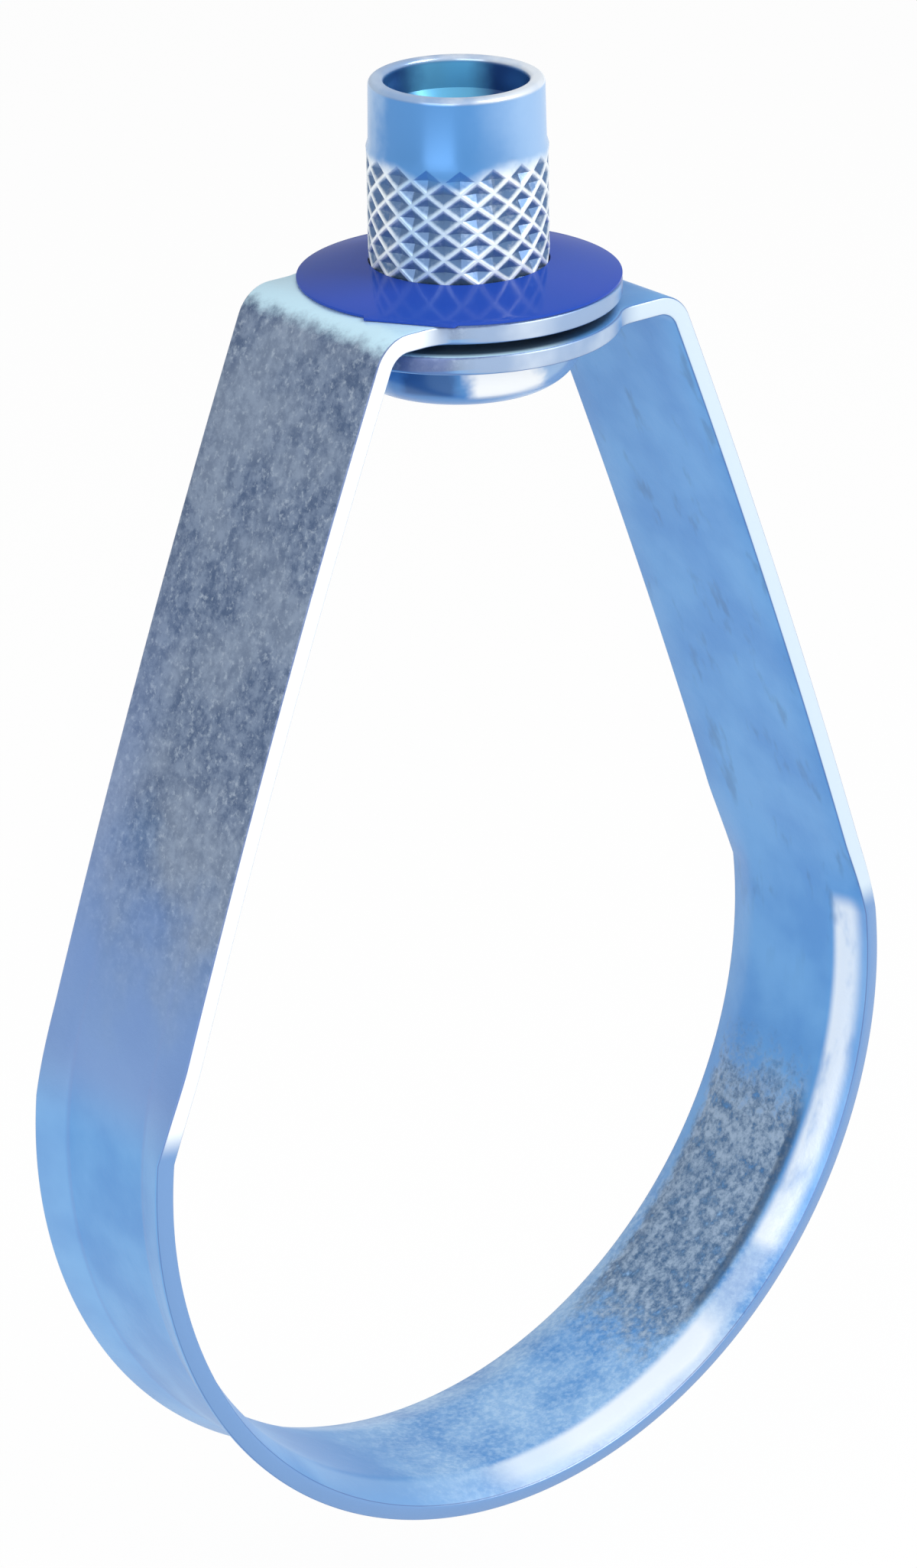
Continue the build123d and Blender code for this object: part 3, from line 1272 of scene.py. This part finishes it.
@dataclass
class SwivelNut:
    """The knurled swivel nut: flange, barrel, collar and rim, bored and threaded right through."""

    top: float = 74.8
    bottom: float = 53.35
    barrel_radius: float = 6.35
    collar_radius: float = 6.2
    collar_height: float = 4.8
    collar_blend: float = 0.5
    rim_radius: float = 6.13
    rim_round: float = 0.42
    bore_round: float = 0.3
    counterbore_radius: float = 5.05
    counterbore_depth: float = 2.2
    bore_radius: float = 4.0
    thread_pitch: float = 1.5875
    thread_depth: float = 0.7
    thread_lead: float = 0.4
    flange_radius: float = 8.8
    flange_foot_radius: float = 6.9
    flange_height: float = 3.55
    flange_band: float = 0.7
    flange_bulge: float = 0.45
    flange_round: float = 0.2
    knurl_starts: int = 17
    knurl_rows: int = 9
    knurl_row_pitch: float = 1.85
    knurl_depth: float = 0.36
    knurl_ridge: float = 0.18
    ring_cuts: int = 3
    rings_per_turn: int = 8
    rim_steps: int = 8
    bore_steps: int = 6
    dome_steps: int = 14
    edge_steps: int = 4
    smooth_limit: float = 24.0
    name: str = "swivel_nut_turned"

    def __post_init__(self) -> None:
        """Works out the sizes that follow from the others."""
        self.flange_top = self.bottom + self.flange_height
        self.knurl_top = self.top - self.collar_height
        self.half_row = self.knurl_row_pitch / 2
        self.knurl_foot = self.knurl_top - self.half_row * (self.knurl_rows + 1)
        self.around = 2 * self.knurl_starts
        self.steps = self.around * (self.ring_cuts + 1)
        step_top = self.top - self.counterbore_depth
        self.bore_top = step_top - self.counterbore_radius + self.bore_radius
        self.bore_foot = self.bottom + self.thread_lead

    def _turned(self) -> Bench:
        """Turns the profile from the knurl's top over the rim, down the bore and out to the knurl's foot.

        Returns:
            The bench with the nut, without its knurl.
        """
        bench = Bench.pen(self.name, at(self.barrel_radius, 0, self.knurl_top))
        here = [self.barrel_radius, self.knurl_top]

        def go(radius: float, height: float) -> None:
            """Draws a straight line to a radius and height."""
            bench.line(at(radius - here[0], 0, height - here[1]))
            here[:] = [radius, height]

        def arc(centre: tuple[float, float], angle: float, end: tuple[float, float], steps: int) -> None:
            """Draws an arc about a centre, to the end given."""
            bench.spin(at(centre[0], 0, centre[1]), ALONG_PIPE, angle, steps)
            here[:] = end

        def corner(radius: float, height: float, soft: float, steps: int) -> None:
            """Rounds the corner at a height, down to a radius, by a quarter circle of radius soft."""
            arc((radius + soft, height - soft), -QUARTER_TURN, (radius, height - soft), steps)

        def shoulder(radius: float, height: float, soft: float, steps: int) -> None:
            """Rounds the corner at a radius, up to a height, by a quarter circle of radius soft."""
            arc((radius - soft, height - soft), -QUARTER_TURN, (radius - soft, height), steps)

        go(self.collar_radius, self.knurl_top + self.collar_blend)
        go(self.rim_radius, self.top - self.rim_round)
        shoulder(self.rim_radius, self.top, self.rim_round, self.rim_steps)
        go(self.counterbore_radius + self.bore_round, self.top)
        corner(self.counterbore_radius, self.top, self.bore_round, self.bore_steps)
        go(self.counterbore_radius, self.top - self.counterbore_depth)
        go(self.bore_radius, self.bore_top)
        rings = round((self.bore_top - self.bore_foot) / self.thread_pitch * self.rings_per_turn)
        for ring in range(rings):
            go(self.bore_radius, self.bore_top + (self.bore_foot - self.bore_top) * (ring + 1) / rings)
        go(self.bore_radius + self.thread_lead, self.bottom)
        go(self.flange_foot_radius, self.bottom)
        edge = Vector((self.flange_radius, self.flange_top - self.flange_band))
        foot = Vector((self.flange_foot_radius, self.bottom))
        chord = edge - foot
        dome = (chord.length**2 / 4 + self.flange_bulge**2) / (2 * self.flange_bulge)
        inward = Vector((-chord.y, chord.x)).normalized()
        centre = (edge + foot) / 2 + inward * (dome - self.flange_bulge)
        arc(tuple(centre), -2 * math.asin(chord.length / 2 / dome), tuple(edge), self.dome_steps)
        go(self.flange_radius, self.flange_top - self.flange_round)
        shoulder(self.flange_radius, self.flange_top, self.flange_round, self.edge_steps)
        go(self.barrel_radius, self.flange_top)
        go(self.barrel_radius, self.knurl_foot)
        bench.turn(self.steps)
        return bench

    def _threaded(self, point: Vector) -> Vector:
        """Cuts the right-hand thread into the wall of the bore.

        Args:
            point: A point of the turned nut, in metres.

        Returns:
            Where it goes.
        """
        radius = math.hypot(point.x, point.y) / MM
        height = point.z / MM
        if radius > self.bore_radius + NEAR_MM:
            return point
        turn = height / self.thread_pitch - math.atan2(point.y, point.x) / FULL_TURN
        depth = self.thread_depth * (1 - abs(2 * (turn % 1) - 1))
        room = min(self.bore_top - height, height - self.bore_foot)
        grown = (radius + depth * min(max(room / self.thread_pitch, 0), 1)) / radius
        return Vector((point.x * grown, point.y * grown, point.z))

    def _lattice(self, point: Vector) -> tuple[int, int]:
        """Finds a vertex of the knurl.

        Args:
            point: The vertex's place, in metres.

        Returns:
            Its ring, counted from the top, and its place round the ring.
        """
        ring = round((self.knurl_top - point.z / MM) / self.half_row)
        place = round(math.atan2(point.y, point.x) / FULL_TURN * self.around)
        return ring, place

    def _on_ring(self, point: Vector) -> Vector:
        """Puts the vertices of the knurl's two end rings on the turned barrel's own.

        Args:
            point: A point of the knurl, in metres.

        Returns:
            Where it goes.
        """
        height = point.z / MM
        if min(abs(height - self.knurl_top), abs(height - self.knurl_foot)) > NEAR_MM:
            return point
        angle = round(math.atan2(point.y, point.x) / FULL_TURN * self.steps) * FULL_TURN / self.steps
        return at(math.cos(angle) * self.barrel_radius, math.sin(angle) * self.barrel_radius, height)

    def _knurled(self) -> bpy.types.Object:
        """Draws the diamond knurl: crossing ridges round four-sided pits.

        Returns:
            The knurl's mesh object, open at its top and foot.
        """
        bench = Bench.pen("knurl", at(self.barrel_radius, 0, self.knurl_top))
        bench.line(*[at(0, 0, -self.half_row)] * (self.knurl_rows + 1))
        bench.turn(self.around)

        def crossing(point: Vector) -> bool:
            """Whether two ridges cross at the vertex."""
            ring, place = self._lattice(point)
            return (ring - place) % 2 == 0

        def pit(point: Vector) -> bool:
            """Whether the vertex is the middle of a pit."""
            ring, place = self._lattice(point)
            return 1 <= ring <= self.knurl_rows and (ring - place) % 2 == 1

        bench.choose(SelectMode.VERTEX, crossing)
        bpy.ops.mesh.vert_connect()
        bench.choose(SelectMode.VERTEX, pit)
        bpy.ops.mesh.dissolve_verts()
        bench.edit(SelectMode.FACE)
        bench.select_none()
        bpy.ops.mesh.select_face_by_sides(number=4, type="EQUAL")
        bpy.ops.mesh.inset(thickness=self.knurl_ridge / 2 * MM, depth=0, use_individual=True)
        bpy.ops.mesh.poke(offset=-self.knurl_depth * MM, use_relative_offset=False)
        bench.edit(SelectMode.EDGE)
        bench.select_none()
        bpy.ops.mesh.select_non_manifold(extend=False)
        bpy.ops.mesh.subdivide(number_cuts=self.ring_cuts)
        bench.nudge(self._on_ring)
        return bench.done()

    def build(self) -> bpy.types.Object:
        """Builds, dresses and places the nut.

        Returns:
            The finished piece.
        """
        bench = self._turned()
        bench.nudge(self._threaded)
        bench.take_in(self._knurled())
        bench.shade(self.smooth_limit)
        piece = bench.dress(NutZinc().make(self))
        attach(piece, "nut")
        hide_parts("swivel_nut")
        return piece


@dataclass
class RetainingWasher:
    """The thin dished washer over the upper eye, with its one flat ear."""

    bottom: float = 60.53
    thickness: float = 0.2
    rise: float = 1.1
    bore_radius: float = 6.35
    brim_radius: float = 10.6
    edge_radius: float = 11.4
    flat_length: float = 6.6
    flat_offset: float = 0.05
    flat_bearing: float = 213.6
    edge_round: float = 0.05
    steps: int = 240
    round_steps: int = 2
    round_limit: float = 50.0
    smooth_limit: float = 30.0
    name: str = "retaining_washer_film"

    def _eared(self, point: Vector) -> Vector:
        """Draws the edge out to the flat where the ear is.

        Args:
            point: A point of the round washer, in metres.

        Returns:
            Where it goes.
        """
        radius = math.hypot(point.x, point.y) / MM
        swing = math.atan2(point.y, point.x) - math.radians(self.flat_bearing)
        swing = (swing + math.pi) % FULL_TURN - math.pi
        flat = self.edge_radius + self.flat_offset
        if radius < self.edge_radius - NEAR_MM or abs(swing) > math.atan2(self.flat_length / 2, flat):
            return point
        grown = flat / math.cos(swing) / radius
        return Vector((point.x * grown, point.y * grown, point.z))

    def build(self) -> bpy.types.Object:
        """Builds, dresses and places the washer.

        Returns:
            The finished piece.
        """
        bench = Bench.pen(self.name, at(self.bore_radius, 0, self.bottom + self.rise))
        cone = at(self.brim_radius - self.bore_radius, 0, -self.rise)
        brim = at(self.edge_radius - self.brim_radius, 0, 0)
        up = at(0, 0, self.thickness)
        bench.line(cone, brim, up, -brim, -cone, -up)
        bench.turn(self.steps)
        bench.nudge(self._eared)
        bench.bevel(self.edge_round, self.round_steps, self.round_limit)
        bench.shade(self.smooth_limit)
        piece = bench.dress(WasherFilm().make())
        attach(piece, "nut")
        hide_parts("retaining_washer")
        return piece


@dataclass(frozen=True)
class SoftLamp:
    """A square lamp: place and size in millimetres, power in watts, and the share of it that gloss shows."""

    name: str
    place: tuple[float, float, float]
    size: float
    power: float
    gloss: float

    def hang(self, aim: Vector) -> None:
        """Hangs the lamp.

        Args:
            aim: The point that it faces, in metres.
        """
        light = bpy.data.lights.new(self.name, "AREA")
        light.specular_factor = self.gloss
        light.size = self.size * MM
        light.energy = self.power
        lamp = bpy.data.objects.new(self.name, light)
        lamp.location = at(*self.place)
        lamp.rotation_euler = (aim - lamp.location).to_track_quat("-Z", "Y").to_euler()
        bpy.context.scene.collection.objects.link(lamp)


@dataclass(frozen=True)
class Studio:
    """Pale floor, white world and soft lamps."""

    floor_gap: float = 22.0
    floor_size: float = 6000.0
    floor_grey: Colour = (0.9, 0.9, 0.9)
    floor_roughness: float = 0.9
    floor_glow: float = 0.93
    world_light: float = 0.62
    aim_height: float = 30.0
    lamps: tuple[SoftLamp, ...] = (
        SoftLamp("key", place=(260, -420, 520), size=380, power=3.2, gloss=0.3),
        SoftLamp("fill", place=(-480, -260, 240), size=420, power=1.2, gloss=0.0),
    )

    def build(self) -> None:
        """Builds the floor, the world and the lamps."""
        self._floor()
        self._world()
        for lamp in self.lamps:
            lamp.hang(at(0, 0, self.aim_height))

    def _floor(self) -> None:
        """Lays a pale floor below the object, white to the camera and to gloss, which keeps the shadow."""
        low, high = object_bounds()
        Bench.clear()
        height = low[2] - self.floor_gap * MM
        bpy.ops.mesh.primitive_plane_add(size=self.floor_size * MM, location=(0, 0, height))
        floor = bpy.context.object
        floor.name = "studio_floor"
        bpy.ops.object.transform_apply(location=True, rotation=True, scale=True)
        paint = Paint("pale_floor")
        material = paint.finish(Base_Color=self.floor_grey, Roughness=self.floor_roughness)
        floor.data.materials.append(material)
        glow = paint.node("ShaderNodeEmission", {}, {"Color": WHITE, "Strength": 1.0})
        rays = paint.node("ShaderNodeLightPath", {}, {}).outputs
        share = Value(paint, rays["Is Camera Ray"]) * self.floor_glow
        share = share + Value(paint, rays["Is Glossy Ray"]) + Value(paint, rays["Is Transmission Ray"])
        inputs = {0: share.clamp(), 1: paint.shader.outputs[0], 2: glow.outputs[0]}
        mixed = paint.node("ShaderNodeMixShader", {}, inputs)
        paint.feed(paint.output.inputs["Surface"], mixed.outputs[0])
        floor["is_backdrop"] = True

    def _world(self) -> None:
        """Makes a plain world, softer for the object than for the camera, which sees it white."""
        world = bpy.data.worlds.new("studio_world")
        bpy.context.scene.world = world
        world.use_nodes = True
        tree = Tree(world.node_tree)
        soft = tree.node("ShaderNodeBackground", {}, {"Color": WHITE, "Strength": self.world_light})
        white = tree.node("ShaderNodeBackground", {}, {"Color": WHITE, "Strength": 1.0})
        seen = tree.node("ShaderNodeLightPath", {}, {}).outputs["Is Camera Ray"]
        mix = tree.node("ShaderNodeMixShader", {}, {0: seen, 1: soft.outputs[0], 2: white.outputs[0]})
        tree.node("ShaderNodeOutputWorld", {}, {"Surface": mix.outputs[0]})


@dataclass(frozen=True)
class PhotoCamera:
    """The camera at the photograph's place, worked out from the photograph's own pixels."""

    azimuth: float = -38.33
    elevation: float = 22.94
    roll: float = -0.904
    distance: float = 396.98
    target_height: float = 30.0
    slide_right: float = 0.498
    slide_up: float = 7.391
    focal_px: float = 7222.5
    clip_start: float = 10.0

    def build(self) -> None:
        """Builds the camera and makes it the scene's."""
        angles = (self.azimuth, self.elevation, self.roll)
        turn, tilt, roll = (math.radians(angle) for angle in angles)
        reach = math.cos(tilt)
        back = Vector((math.sin(turn) * reach, -math.cos(turn) * reach, math.sin(tilt)))
        level = Vector((math.cos(turn), math.sin(turn), 0))
        rise = back.cross(level)
        right = level * math.cos(roll) + rise * math.sin(roll)
        upward = rise * math.cos(roll) - level * math.sin(roll)
        place = Vector((0, 0, self.target_height)) + back * self.distance
        place -= right * self.slide_right + upward * self.slide_up
        camera = bpy.data.cameras.new("photo_camera")
        camera.sensor_width = SENSOR_MM
        camera.sensor_fit = "AUTO"
        camera.lens = self.focal_px * SENSOR_MM / PHOTO_HEIGHT_PX
        camera.clip_start = self.clip_start * MM
        viewer = bpy.data.objects.new("photo_camera", camera)
        turned = Matrix((right, upward, back)).transposed().to_4x4()
        viewer.matrix_world = Matrix.Translation(place * MM) @ turned
        bpy.context.scene.collection.objects.link(viewer)
        bpy.context.scene.camera = viewer


def open_edges(piece: bpy.types.Object) -> int:
    """Counts the edges that don't lie between exactly two faces.

    Args:
        piece: A mesh object.

    Returns:
        How many there are, which is 0 for a closed piece.
    """
    shape = bmesh.new()
    shape.from_mesh(piece.data)
    count = sum(1 for edge in shape.edges if not edge.is_manifold)
    shape.free()
    return count


def main() -> None:
    """Builds the whole scene round the frame."""
    logging.basicConfig(level=logging.INFO, format="%(name)s: %(message)s")
    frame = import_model()
    log.info("frame: %s", ", ".join(sorted(frame["nodes"])))
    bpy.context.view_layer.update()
    for part in (LoopBand(), SwivelNut(), RetainingWasher()):
        piece = part.build()
        faces = len(piece.data.polygons)
        log.info("%s: %d faces, %d open edges", piece.name, faces, open_edges(piece))
        log.info("%s rides with %s", piece.name, body_of(piece))
    PhotoCamera().build()
    Studio().build()
    bpy.context.scene.view_settings.view_transform = "Standard"


if __name__ == "__main__":
    main()
